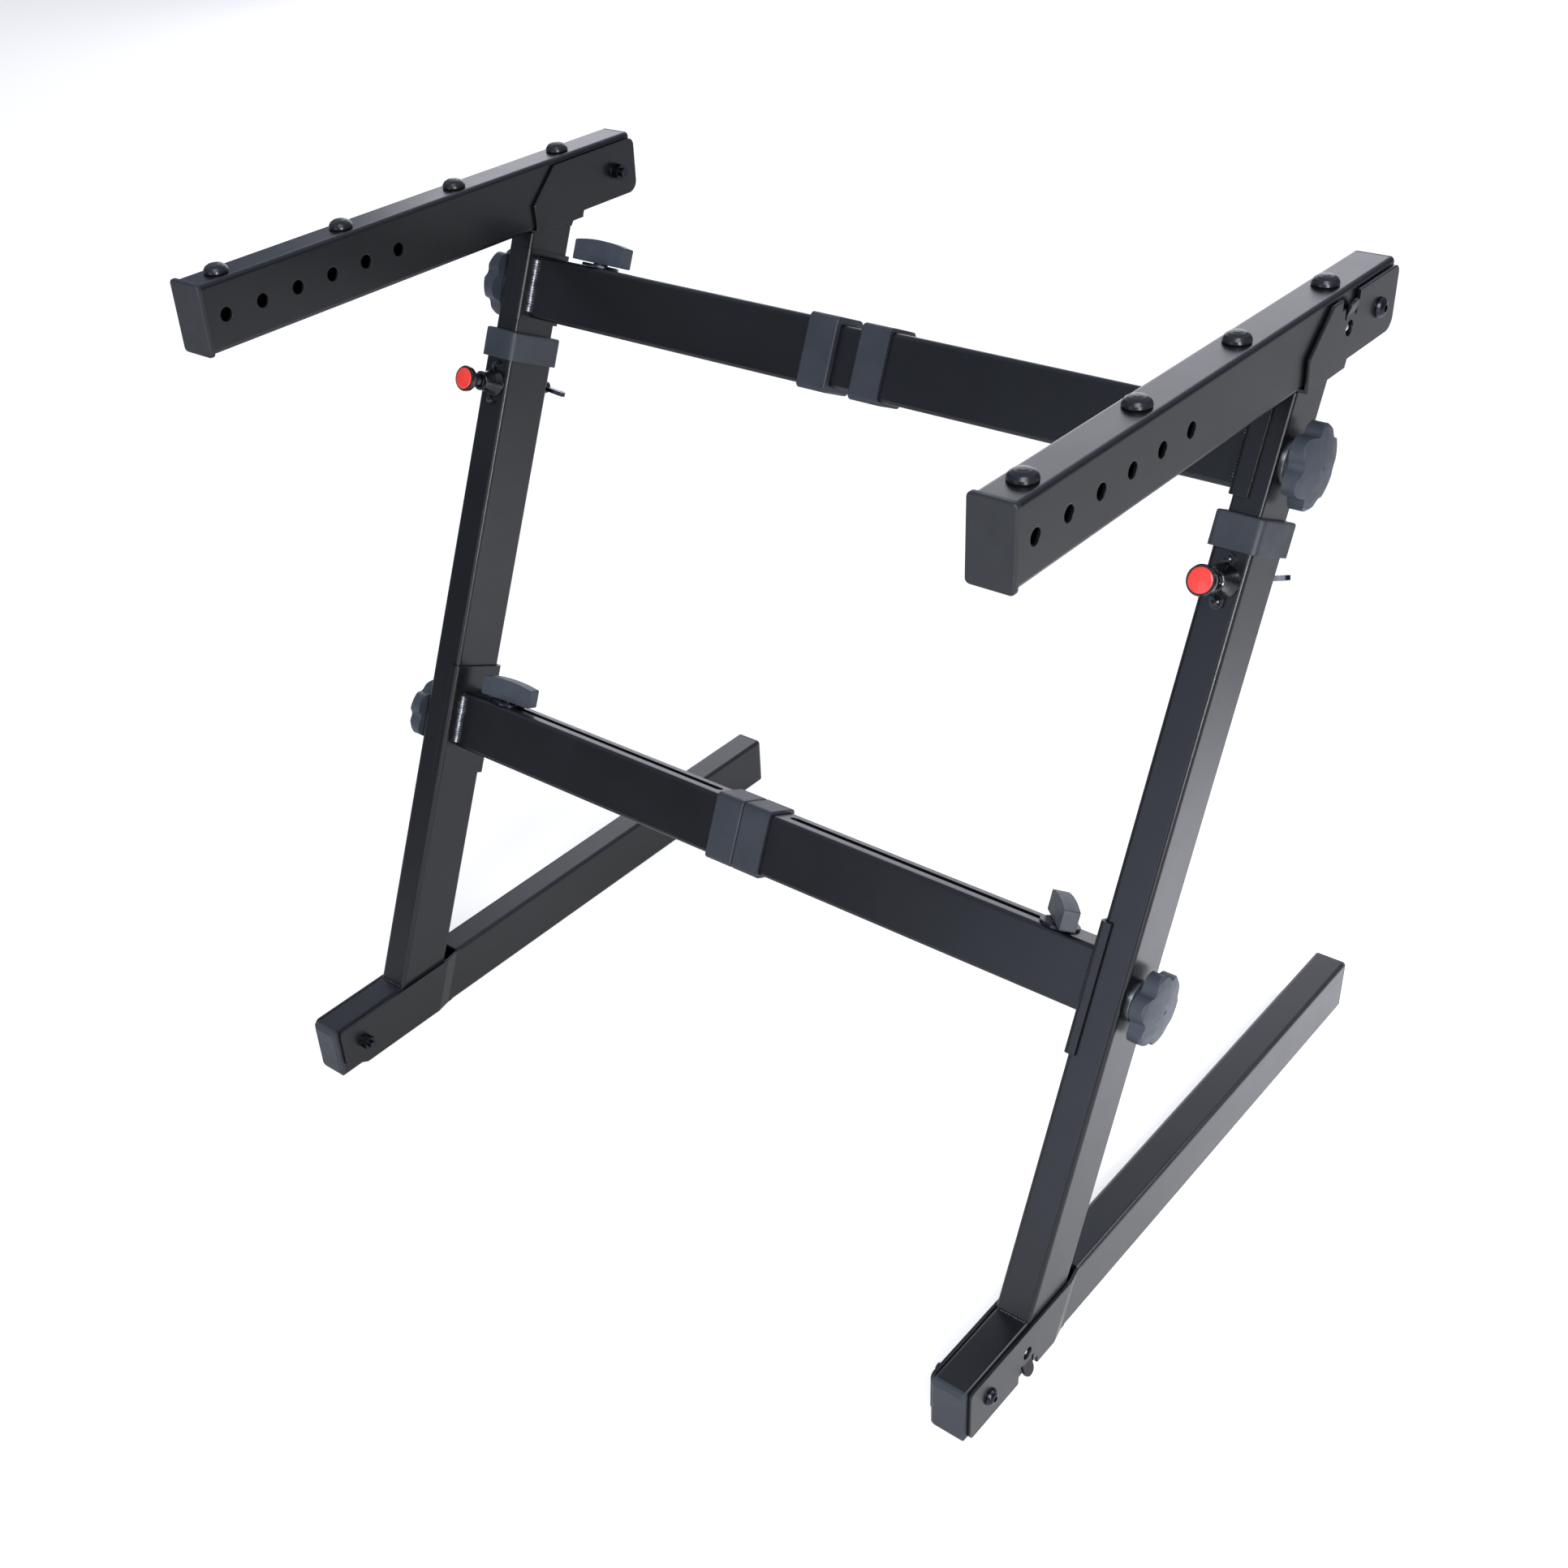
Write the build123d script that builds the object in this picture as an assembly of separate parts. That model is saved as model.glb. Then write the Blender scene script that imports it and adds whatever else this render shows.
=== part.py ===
from build123d import *
import math
import os

os.makedirs("parts", exist_ok=True)

# Frame: millimetres, +Z up, floor at z = 0, player's side towards -Y, +X to the right of
# a player who stands at -Y and looks along +Y. The origin is the middle of the base.

# Whole stand
SPAN = 590.0            # between the centre planes of the two uprights, narrowest setting
TILT = 24.0             # lean of the uprights from the vertical, degrees
Y_FOOT = -189.3         # where an upright's centre line meets the floor

# Outer tube, used for uprights, arms, legs and crossbars
TUBE_W = 25.4
TUBE_H = 44.0
WALL = 2.0
TUBE_R = 3.0
BORE_R = 1.0

# Inner tube, slides in the outer tube with a small gap all round
SLIP = 0.4
IN_W = TUBE_W - 2 * WALL - 2 * SLIP
IN_H = TUBE_H - 2 * WALL - 2 * SLIP
IN_R = 2.0

# Upright, distances along the tilted centre line from the floor; the rest hangs on OUTER_TOP
OUTER_TOP = 555.0
COLLAR_GRIP = 18.0      # collar below the mouth of the outer tube
COLLAR_LIP = 2.5        # collar above the mouth
COLLAR_T = 2.9
COLLAR_R = 4.0
MOUTH_GAP = 0.3
PIN_DROP = 36.2         # height pin below the mouth
PIN_R = 4.0
PIN_GAP = 0.3
HOLE_PITCH = 33.0
HOLE_COUNT = 7
WING_DROP = 34.0        # wing bolt below the mouth
BOSS_R = 6.5
BOSS_H = 3.6

COLLAR_LOW = OUTER_TOP - COLLAR_GRIP
COLLAR_HIGH = OUTER_TOP + COLLAR_LIP
PIN_T = OUTER_TOP - PIN_DROP
WING_T = OUTER_TOP - WING_DROP

# Crossbars; a channel on each end wraps the upright
LOW_BAR_T = 264.5
REST_GAP = 9.0          # between collar and upper channel, lowest setting
UP_BAR_RISE = 25.0      # upper bar above the low end of its channel
SLEEVE_T = 2.0
SLEEVE_GAP = 0.3
SLEEVE_R = 3.0
LOW_SLEEVE_DOWN = 45.5
LOW_SLEEVE_UP = 42.0
UP_SLEEVE_LENGTH = 50.5
LOW_FLANGE_EDGE = -7.0  # free edge of the lower channel, outward from the upright's centre
UP_FLANGE_EDGE = 0.0
LOW_COLLAR_AT = 0.2     # facing end of a bar collar from the middle of the stand
UP_COLLAR_AT = 9.3
BAR_COLLAR_LENGTH = 22.8
BAR_COLLAR_LIP = 2.4
BAR_COLLAR_T = 2.5
LOW_STUD_INSET = 50.0   # thumbscrew from the centre plane of the upright
UP_STUD_INSET = 62.5
STUD_R = 3.0
INNER_PAST_STUD = 11.0  # inner bar beyond its thumbscrew
SLOT_W = 7.0
SLOT_PAST_STUD = 6.0
SLOT_FROM_COLLAR = 8.0

UP_SLEEVE_LOW = COLLAR_HIGH + REST_GAP
UP_SLEEVE_HIGH = UP_SLEEVE_LOW + UP_SLEEVE_LENGTH
UP_BAR_T = UP_SLEEVE_LOW + UP_BAR_RISE
LOW_STUD_X = SPAN / 2 - LOW_STUD_INSET
UP_STUD_X = SPAN / 2 - UP_STUD_INSET

# Star knobs
LOW_KNOB_DROP = 5.0     # below the middle of its crossbar
UP_KNOB_DROP = 1.0
INNER_ABOVE_KNOB = 20.5 # low end of the inner tube above the lower knob, lowest setting
KNOB_R = 25.0
KNOB_LOBES = 6
LOBE_R = 9.0
HOLLOW_R = 4.0
KNOB_HEAD = 12.8
KNOB_DOME = 3.0
KNOB_BEVEL = 2.4
HUB_R = 14.0
HUB_H = 4.0
NECK_R = 11.5
NECK_H = 0.9
KNOB_BOLT_R = 4.0
WASHER_R = 12.5
WASHER_T = 1.6
STAR_TURNS = {("lower", "right"): 22, ("lower", "left"): 10, ("upper", "right"): 5, ("upper", "left"): -12}
LOW_KNOB_T = LOW_BAR_T - LOW_KNOB_DROP
UP_KNOB_T = UP_BAR_T - UP_KNOB_DROP
INNER_BOTTOM = LOW_KNOB_T + INNER_ABOVE_KNOB

# Thumbscrews on the crossbars
BAR_LENGTH = 45.0
BAR_END_H = 13.6
BAR_MID_H = 15.8
BAR_THICK = 10.4
BAR_RISE = 2.9          # underside of the handle above the crossbar
THUMB_BOSS_R = 5.2
THUMB_WASHER_R = 13.2
THUMB_TURNS = {("lower", "right"): -52, ("lower", "left"): 8, ("upper", "right"): -58, ("upper", "left"): 3}

# Foot block and leg; y from the foot of the upright's centre line
BLOCK_FRONT = -74.0
PIVOT_FROM_FRONT = 22.5
PIN_FROM_PIVOT = 43.5
WELD_SINK = 0.6
FORK_GAP = 0.3
FORK_T = 2.2
FORK_BACK = 0.5         # front edge of the fork behind the front of the block
FORK_LIFT = 1.2         # lower edge of the fork above the floor
FORK_CUT = (20.5, 12.0)
JOGGLE = 12.0
LEG_REAR = 456.5
CAP_T = 2.6
CAP_DEPTH = 12.0
CAP_SLIP = 0.2
FOOT_CAP_FLANGE = 2.2
FOOT_CAP_BEVEL = (2.5, 3.5, 1.8)
FORK_IN = TUBE_W / 2 + FORK_GAP
FORK_OUT = FORK_IN + FORK_T
LEG_PIVOT = (BLOCK_FRONT + PIVOT_FROM_FRONT, TUBE_H / 2)
LEG_PIN = (LEG_PIVOT[0] + PIN_FROM_PIVOT, TUBE_H / 2)

# Bracket and arm; y from the point where the upright's centre line meets the web
WEB_RISE = 17.1         # web above the top of the upper channel
WEB_FRONT = 20.0
WEB_REAR = 26.9
PLATE_GAP = 0.8
PLATE_T = 2.0
PLATE_EDGE = 0.5
ARM_SEAT = 0.2
ARM_REACH = 313.4       # front end of the arm ahead of the upright
ARM_TAIL = 84.9
ARM_PIVOT_BACK = 64.6
ARM_PIN_BACK = 25.9
ARM_PIN_DROP = 23.0
ARM_FRONT_CAP_T = 3.3
ARM_FRONT_CAP_LIP = 1.2
ARM_HOLE_R = 4.5
ARM_HOLE_COUNT = 6
ARM_HOLE_PITCH = 29.2
ARM_HOLE_FIRST = 18.4   # from the front end of the arm
NOSE_Y = -21.3
NOSE_RISE = 19.7
SHOULDER_Y = 2.9
SHOULDER_DROP = 4.0
TAIL_PAST_ARM = 2.0
TAIL_RISE = 2.0
STEP_Y = 28.6
BUMPER_FIRST = 26.3     # from the front end of the arm
BUMPER_PITCH = 103.0
BUMPER_COUNT = 4
BUMPER_R = 8.0
BUMPER_H = 5.8

# Pivot bolts, lock buttons and latch plates
BOLT_R = 3.0
BOLT_CLEAR = 0.1
BUTTON_R = 3.2
BUTTON_GAP = 0.3
BUTTON_START = 8.2
LATCH_HOLE_R = 4.6
TONGUE_R = 5.2
TONGUE_SLIT = 2.4
TONGUE_BEND = 20.0
EPS = 0.05

SIN = math.sin(math.radians(TILT))
COS = math.cos(math.radians(TILT))
WEB_Z = UP_SLEEVE_HIGH * COS + WEB_RISE
AXIS_Y = WEB_Z * SIN / COS
ARM_TOP = WEB_Z + PLATE_T + ARM_SEAT + TUBE_H
ARM_FRONT = AXIS_Y - ARM_REACH
ARM_REAR = AXIS_Y + ARM_TAIL
ARM_MID = ARM_TOP - TUBE_H / 2
ARM_PIVOT = (AXIS_Y + ARM_PIVOT_BACK, ARM_TOP - ARM_PIN_DROP)
ARM_PIN = (AXIS_Y + ARM_PIN_BACK, ARM_TOP - ARM_PIN_DROP)
PLATE_IN = TUBE_W / 2 + PLATE_GAP
PLATE_OUT = PLATE_IN + PLATE_T


def rounded_tube(w, h, wall, r, length):
    """Rectangular tube along +Z from z = 0, corner radius r outside."""
    shape = RectangleRounded(w, h, r) - RectangleRounded(w - 2 * wall, h - 2 * wall, BORE_R)
    return extrude(shape, length)


def tilt(part):
    """Place a part of the upright's own frame: x outward, y to the rear, z along the upright."""
    return Pos(SPAN / 2, Y_FOOT, 0) * Rot(-TILT, 0, 0) * part


def tilt_mid(part):
    """Place a part that is centred on the stand, in the upright's lean."""
    return Pos(0, Y_FOOT, 0) * Rot(-TILT, 0, 0) * part


def side(part):
    """Place a part of the side frame: x outward, y from the foot of the upright, z up."""
    return Pos(SPAN / 2, Y_FOOT, 0) * part


def cyl_x(r, x0, x1, y, z):
    """Cylinder along X between x0 and x1."""
    return Pos((x0 + x1) / 2, y, z) * Rot(0, 90, 0) * Cylinder(r, abs(x1 - x0))


def cyl_y(r, y0, y1, x, z):
    """Cylinder along Y between y0 and y1."""
    return Pos(x, (y0 + y1) / 2, z) * Rot(90, 0, 0) * Cylinder(r, abs(y1 - y0))


def cyl_z(r, z0, z1, x=0.0, y=0.0):
    """Cylinder along Z between z0 and z1."""
    return Pos(x, y, (z0 + z1) / 2) * Cylinder(r, abs(z1 - z0))


def block(x0, x1, y0, y1, z0, z1):
    """Box between two corners."""
    return Pos((x0 + x1) / 2, (y0 + y1) / 2, (z0 + z1) / 2) * Box(abs(x1 - x0), abs(y1 - y0), abs(z1 - z0))


def plate_yz(points, x0, x1):
    """Flat plate with an outline in the YZ plane, from x0 to x1."""
    face = make_face(Polyline(*[(0, y, z) for y, z in points], close=True))
    return Pos(x0, 0, 0) * extrude(face, x1 - x0, dir=(1, 0, 0))


def revolve_z(points):
    """Solid turned about Z from (radius, height) points."""
    face = make_face(Polyline(*[(r, 0, z) for r, z in points], close=True))
    return revolve(face, Axis.Z, 360)


def turned_x(points, y, z):
    """Solid turned about an X axis from (radius, x) points."""
    return Pos(0, y, z) * Rot(0, 90, 0) * revolve_z(points)


def lean_y(z, n):
    """y of the plane that lies n in front of the upright's centre plane, at height z."""
    return z * SIN / COS - n / COS


def slanted_prism(xy_points, z0, z1):
    """Prism whose XY outline shifts with the upright's lean between z0 and z1."""
    base = make_face(Polyline(*[(x, y + z0 * SIN / COS, z0) for x, y in xy_points], close=True))
    return extrude(base, (z1 - z0) / COS, dir=(0, SIN, COS))


def group(*shapes):
    """One compound of separate solids."""
    parts = []
    for s in shapes:
        parts += list(s.solids())
    return Compound(children=parts)


def one(shape):
    """The single solid of a result that must be in one piece."""
    found = list(shape.solids())
    if len(found) != 1:
        raise ValueError("expected one solid, found %d" % len(found))
    return found[0]


def hex_prism_x(across_flats, x0, x1, y, z):
    """Hexagonal prism along X."""
    body = extrude(RegularPolygon(across_flats / 2, 6, major_radius=False), abs(x1 - x0))
    return Pos(min(x0, x1), y, z) * Rot(0, 90, 0) * body


def polar(r, angle):
    """Point of the XY plane at a radius and an angle in radians."""
    return Vector(r * math.cos(angle), r * math.sin(angle))


def plug_body(depth):
    """Hollow plug that fills the bore of the outer tube, from z = 0 up."""
    w = TUBE_W - 2 * WALL - 2 * CAP_SLIP
    h = TUBE_H - 2 * WALL - 2 * CAP_SLIP
    plug = extrude(RectangleRounded(w, h, BORE_R + CAP_SLIP), depth)
    hollow = extrude(Rectangle(w - 2 * WALL, h - 2 * WALL), depth)
    return plug - Pos(0, 0, 1.5) * hollow


def cap_body(lip, flange_t):
    """Square end cap: flange from z = -flange_t to 0 and a hollow plug above."""
    flange = extrude(RectangleRounded(TUBE_W + 2 * lip, TUBE_H + 2 * lip, TUBE_R), -flange_t)
    flange = fillet(flange.edges().group_by(Axis.Z)[0], flange_t * 0.4)
    return plug_body(CAP_DEPTH) + flange


# Lower upright: outer tube cut level on top of the foot block, with the block welded to it
def make_lower_upright():
    back = TUBE_H / 2
    post = rounded_tube(TUBE_W, TUBE_H, WALL, TUBE_R, OUTER_TOP)
    post += cyl_y(BOSS_R, back - WALL / 2, back + BOSS_H, 0, WING_T)
    post -= cyl_y(BOLT_R + SLIP, back - 2 * WALL, back + 2 * BOSS_H, 0, WING_T)
    post -= cyl_y(PIN_R + PIN_GAP, -back - WALL, -back + 2 * WALL, 0, PIN_T)
    post -= cyl_x(KNOB_BOLT_R + SLIP, -TUBE_W, TUBE_W, 0, LOW_KNOB_T)
    post = Rot(-TILT, 0, 0) * post
    post -= block(-TUBE_W, TUBE_W, -2 * TUBE_H, 2 * TUBE_H, -2 * TUBE_H, TUBE_H - WELD_SINK)
    length = 2 * TUBE_H - BLOCK_FRONT
    foot = Pos(0, BLOCK_FRONT, TUBE_H / 2) * Rot(-90, 0, 0) * rounded_tube(TUBE_W, TUBE_H, WALL, TUBE_R, length)
    low, high, far = -TUBE_H, 2 * TUBE_H, 3 * TUBE_H
    rear = [(lean_y(low, -back), low), (lean_y(high, -back), high), (far, high), (far, low)]
    foot -= plate_yz(rear, -TUBE_W, TUBE_W)
    foot -= cyl_x(BOLT_R + 2 * BOLT_CLEAR, -TUBE_W, TUBE_W, *LEG_PIVOT)
    foot -= cyl_x(BUTTON_R + 2 * BOLT_CLEAR, 0, TUBE_W, *LEG_PIN)
    return one(side(post + foot))


# Cap in the front end of the foot block: plug, flange and bevelled face
def make_foot_cap():
    narrow, short, deep = FOOT_CAP_BEVEL
    rim = RectangleRounded(TUBE_W, TUBE_H, TUBE_R)
    face = RectangleRounded(TUBE_W - 2 * narrow, TUBE_H - 2 * short, TUBE_R - 1.0)
    flange = extrude(rim, -FOOT_CAP_FLANGE)
    front = loft([Pos(0, 0, -FOOT_CAP_FLANGE) * rim, Pos(0, 0, -FOOT_CAP_FLANGE - deep) * face])
    body = plug_body(CAP_DEPTH) + flange + front
    return one(side(Pos(0, BLOCK_FRONT, TUBE_H / 2) * Rot(-90, 0, 0) * body))


# Collar moulded round the mouth of the outer tube
def make_upright_collar():
    length = COLLAR_HIGH - COLLAR_LOW
    outer = extrude(RectangleRounded(TUBE_W + 2 * COLLAR_T, TUBE_H + 2 * COLLAR_T, COLLAR_R), length)
    outer = fillet(outer.edges().group_by(Axis.Z)[-1], COLLAR_R * 0.4)
    seat = extrude(RectangleRounded(TUBE_W + 2 * EPS, TUBE_H + 2 * EPS, TUBE_R), COLLAR_GRIP)
    mouth = extrude(RectangleRounded(IN_W + 2 * MOUTH_GAP, IN_H + 2 * MOUTH_GAP, IN_R), length)
    return one(tilt(Pos(0, 0, COLLAR_LOW) * (outer - seat - mouth)))


def on_front(part):
    """Place a part on the front face of the outer tube at the height pin, its +Z to the front."""
    return tilt(Pos(0, -TUBE_H / 2, PIN_T) * Rot(90, 0, 0) * part)


# Spring plunger housing: oval flange with two rivets, wide bell and neck ring
def make_plunger_housing():
    flange = extrude(SlotCenterToCenter(24.0, 9.0, rotation=90), 1.8)
    bell = revolve_z([(0, 0), (10.4, 0), (10.4, 1.8), (9.5, 3.4), (8.1, 6.2), (6.9, 9.6), (6.2, 12.2),
                      (6.2, 12.8), (6.9, 13.2), (6.9, 14.8), (6.3, 15.2), (5.3, 15.4), (5.3, 17.0), (0, 17.0)])
    body = flange + bell
    for s in (1, -1):
        body += Pos(0, s * 12.4, 1.8) * revolve_z([(0, 0), (2.7, 0), (2.4, 0.9), (1.2, 1.5), (0, 1.6)])
    return one(on_front(body - cyl_z(PIN_R + PIN_GAP, -WALL, 2 * TUBE_H)))


# Plunger knob with its pin, one moulded-over piece; the pin stops just short of the inner tube
def make_plunger_knob():
    pin = cyl_z(PIN_R, BOLT_CLEAR - WALL, 24)
    knob = revolve_z([(0, 18.6), (5.0, 18.6), (5.3, 19.2), (5.3, 22.4), (6.1, 24.4), (7.9, 26.0), (8.9, 27.6),
                      (9.1, 29.0), (9.1, 30.6), (8.5, 31.6), (7.6, 31.6), (7.6, 31.0), (0, 31.0)])
    return one(on_front(pin + knob))


def make_plunger_cap():
    return one(on_front(revolve_z([(0, 31.0), (7.5, 31.0), (7.5, 31.8), (6.8, 32.2), (0, 32.5)])))


# Wing bolt behind the upright; two flat ears, each with a small hole near its end
def make_wing_bolt(turn, rise, reach):
    hub_h = 12.6
    stem = cyl_z(BOLT_R, BOLT_CLEAR - WALL, hub_h - 2)
    hub = revolve_z([(0, 4.4), (4.6, 4.4), (5.2, 5.8), (4.6, hub_h - 1), (3.2, hub_h), (0, hub_h)])
    body = stem + hub
    for s in (1, -1):
        ear = extrude(SlotOverall(17.5, 8.0), 1.5, both=True) - Pos(s * 5.6, 0, 0) * Cylinder(1.2, 5)
        body += Pos(s * reach, 0, hub_h - 1.4) * Rot(0, -s * rise, 0) * Rot(90, 0, 0) * ear
    return one(tilt(Pos(0, TUBE_H / 2, WING_T) * Rot(-90, 0, 0) * Rot(0, 0, turn) * body))


def tongue_piece(x0, y, z, length, up):
    """Lead-in tongue of a latch plate, bent outward, rounded at its free end; up is 1 or -1."""
    thick = PLATE_T - 0.2
    flat = extrude(Rectangle(2 * TONGUE_R, length - TONGUE_R, align=(Align.CENTER, Align.MIN)), thick)
    body = flat + Pos(0, length - TONGUE_R, 0) * extrude(Circle(TONGUE_R), thick)
    body = Plane(origin=(0, 0, 0), x_dir=(0, 1, 0), z_dir=(1, 0, 0)).location * body
    body = Rot(0, TONGUE_BEND, 0) * body
    if up < 0:
        body = mirror(body, about=Plane.XY)
    return Pos(x0 + 0.1, y, z) * body


def latch_cuts(x0, x1, y, z, root, up):
    """Cuts of a latch plate: button hole, tongue window and the slits beside the tongue."""
    far = z + up * TUBE_H
    cuts = cyl_x(LATCH_HOLE_R, x0 - 2, x1 + 2, y, z)
    cuts += block(x0 - 2, x1 + 2, y - TONGUE_R, y + TONGUE_R, z + up * root, far)
    for s in (1, -1):
        slit = sorted((y + s * TONGUE_R, y + s * (TONGUE_R + TONGUE_SLIT)))
        cuts += block(x0 - 2, x1 + 2, slit[0], slit[1], z + up * (root - 2.0), far)
    return cuts


# Upper upright: inner tube with the bracket that holds the arm
def make_bracket_plate(x0, x1, latch):
    top = ARM_TOP - SHOULDER_DROP
    low = ARM_TOP - TUBE_H + TAIL_RISE
    tail = ARM_REAR + TAIL_PAST_ARM
    outline = [(AXIS_Y - WEB_FRONT, WEB_Z), (AXIS_Y + NOSE_Y, WEB_Z + NOSE_RISE), (AXIS_Y + SHOULDER_Y, top),
               (tail, top), (tail, low), (AXIS_Y + STEP_Y, low), (AXIS_Y + WEB_REAR, WEB_Z)]
    plate = plate_yz(outline, x0, x1)
    corners = plate.edges().filter_by(Axis.X).group_by(Axis.Y)[-1].sort_by(Axis.Z)
    plate = fillet(corners[-1], 5.0)
    corner = plate.edges().filter_by(Axis.X).group_by(Axis.Y)[-1].sort_by(Axis.Z)[0]
    plate = fillet(corner, 8.0)
    outside = plate.faces().sort_by(Axis.X)[-1 if latch else 0]
    plate = chamfer(outside.edges(), PLATE_EDGE)
    if latch:
        y, z = ARM_PIN
        plate -= latch_cuts(x0, x1, y, z, 8.4, 1)
        plate -= block(x0 - 2, x1 + 2, y - 12.0, y + 9.5, z + 13.0, top + 2)
        plate += tongue_piece(x0, y, z + 8.2, 9.4, 1)
    return plate - cyl_x(BOLT_R + EPS, x0 - 1, x1 + 1, *ARM_PIVOT)


def make_gusset():
    """Weld-sized web whose hollow edge flows from the bracket into the rear of the inner tube."""
    corner = Vector(lean_y(WEB_Z, -IN_H / 2), WEB_Z)
    run = AXIS_Y + WEB_REAR - corner.X
    start = corner + Vector(run, 0)
    end = corner - Vector(run * SIN, run * COS)
    centre = start - Vector(0, run / math.tan(math.radians(45 - TILT / 2)))
    radius = (start - centre).length
    middle = centre + (corner - centre).normalized() * radius
    inside = [start + Vector(0, EPS), corner + Vector(-WALL, EPS), end + Vector(-WALL, 0), end]
    outline = Polyline(*[(0, p.X, p.Y) for p in [start] + inside])
    arc = ThreePointArc((0, end.X, end.Y), (0, middle.X, middle.Y), (0, start.X, start.Y))
    return Pos(-IN_W / 2, 0, 0) * extrude(make_face(outline + arc), IN_W, dir=(1, 0, 0))


def make_upper_upright():
    tube = rounded_tube(IN_W, IN_H, WALL, IN_R, WEB_Z / COS - INNER_BOTTOM + TUBE_H)
    tube = Pos(0, 0, INNER_BOTTOM) * tube
    for i in range(HOLE_COUNT):
        tube -= cyl_y(PIN_R + PIN_GAP, -IN_H, 0, 0, PIN_T - i * HOLE_PITCH)
    tube -= cyl_x(KNOB_BOLT_R + SLIP, -TUBE_W, TUBE_W, 0, UP_KNOB_T)
    tube = Rot(-TILT, 0, 0) * tube
    tube -= block(-TUBE_W, TUBE_W, 0, 2 * AXIS_Y, WEB_Z + EPS, WEB_Z + 2 * TUBE_H)
    web = block(-PLATE_OUT, PLATE_OUT, AXIS_Y - WEB_FRONT, AXIS_Y + WEB_REAR - EPS, WEB_Z, WEB_Z + PLATE_T)
    outer = make_bracket_plate(PLATE_IN, PLATE_OUT, True)
    inner = make_bracket_plate(-PLATE_OUT, -PLATE_IN, False)
    return one(side(tube + web + outer + inner + make_gusset()))


# Arm: rectangular tube with a row of holes through both walls
def make_arm_tube():
    y0 = ARM_FRONT + ARM_FRONT_CAP_T
    y1 = ARM_REAR - CAP_T
    tube = Pos(0, y0, ARM_MID) * Rot(-90, 0, 0) * rounded_tube(TUBE_W, TUBE_H, WALL, TUBE_R, y1 - y0)
    for i in range(ARM_HOLE_COUNT):
        y = ARM_FRONT + ARM_HOLE_FIRST + i * ARM_HOLE_PITCH
        tube -= cyl_x(ARM_HOLE_R, -TUBE_W, TUBE_W, y, ARM_MID)
    tube -= cyl_x(BOLT_R + BOLT_CLEAR, -TUBE_W, TUBE_W, *ARM_PIVOT)
    tube -= cyl_x(BUTTON_R + 2 * BOLT_CLEAR, 0, TUBE_W, *ARM_PIN)
    for y in bumper_places():
        tube -= cyl_z(2.1, ARM_TOP - 2 * WALL, ARM_TOP + WALL, 0, y)
    return one(side(tube))


def make_arm_caps():
    front = Pos(0, ARM_FRONT + ARM_FRONT_CAP_T, ARM_MID) * Rot(-90, 0, 0)
    rear = Pos(0, ARM_REAR - CAP_T, ARM_MID) * Rot(90, 0, 0)
    return group(side(front * cap_body(ARM_FRONT_CAP_LIP, ARM_FRONT_CAP_T)), side(rear * cap_body(0.0, CAP_T)))


def bumper_places():
    """y of each rubber bumper on the arm."""
    return [ARM_FRONT + BUMPER_FIRST + i * BUMPER_PITCH for i in range(BUMPER_COUNT)]


# Rubber bumpers pressed into the top of the arm
def make_arm_bumpers():
    r = BUMPER_R
    h = BUMPER_H
    dome = revolve_z([(0, EPS), (r - 0.4, EPS), (r, 0.8), (r - 0.3, 2.2), (r - 1.4, 3.9), (r - 3.4, 5.1),
                      (r - 6.0, h - 0.1), (0, h)])
    stem = cyl_z(2.0, -WALL - 1.2, 0.2)
    barb = cyl_z(2.9, -WALL - 1.4, -WALL - 0.1)
    return group(*[side(Pos(0, y, ARM_TOP) * (dome + stem + barb)) for y in bumper_places()])


# Pivot bolt with button head outside and lock nut inside
def make_pivot_bolt(face, pivot):
    y, z = pivot
    head = Pos(face, 0, 0) * turned_x([(0, 0), (6.0, 0), (6.0, 1.0), (5.3, 2.5), (3.8, 3.6), (2.6, 4.0), (0, 4.0)],
                                      y, z)
    head -= hex_prism_x(4.0, face + 1.6, face + 6, y, z)
    shank = cyl_x(BOLT_R, -face - 9.6, face + 0.5, y, z)
    nut = hex_prism_x(10.0, -face - 6.4, -face - EPS, y, z)
    nut += cyl_x(5.9, -face - 1.0, -face - EPS, y, z)
    nut -= cyl_x(BOLT_R + EPS, -face - 10, -face + 1, y, z)
    return group(side(head + shank), side(nut))


# Spring button that stands behind the hole of the latch plate
def make_lock_button(plate, pin):
    y, z = pin
    reach = plate - BUTTON_START - BUTTON_GAP
    r = BUTTON_R
    body = turned_x([(0, 0), (r, 0), (r, reach - 1.8), (r - 0.5, reach - 0.8), (r / 2, reach - 0.15), (0, reach)], y, z)
    flange = cyl_x(LATCH_HOLE_R, 0, 1.6, y, z)
    return one(side(Pos(BUTTON_START, 0, 0) * (body + flange)))


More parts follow.
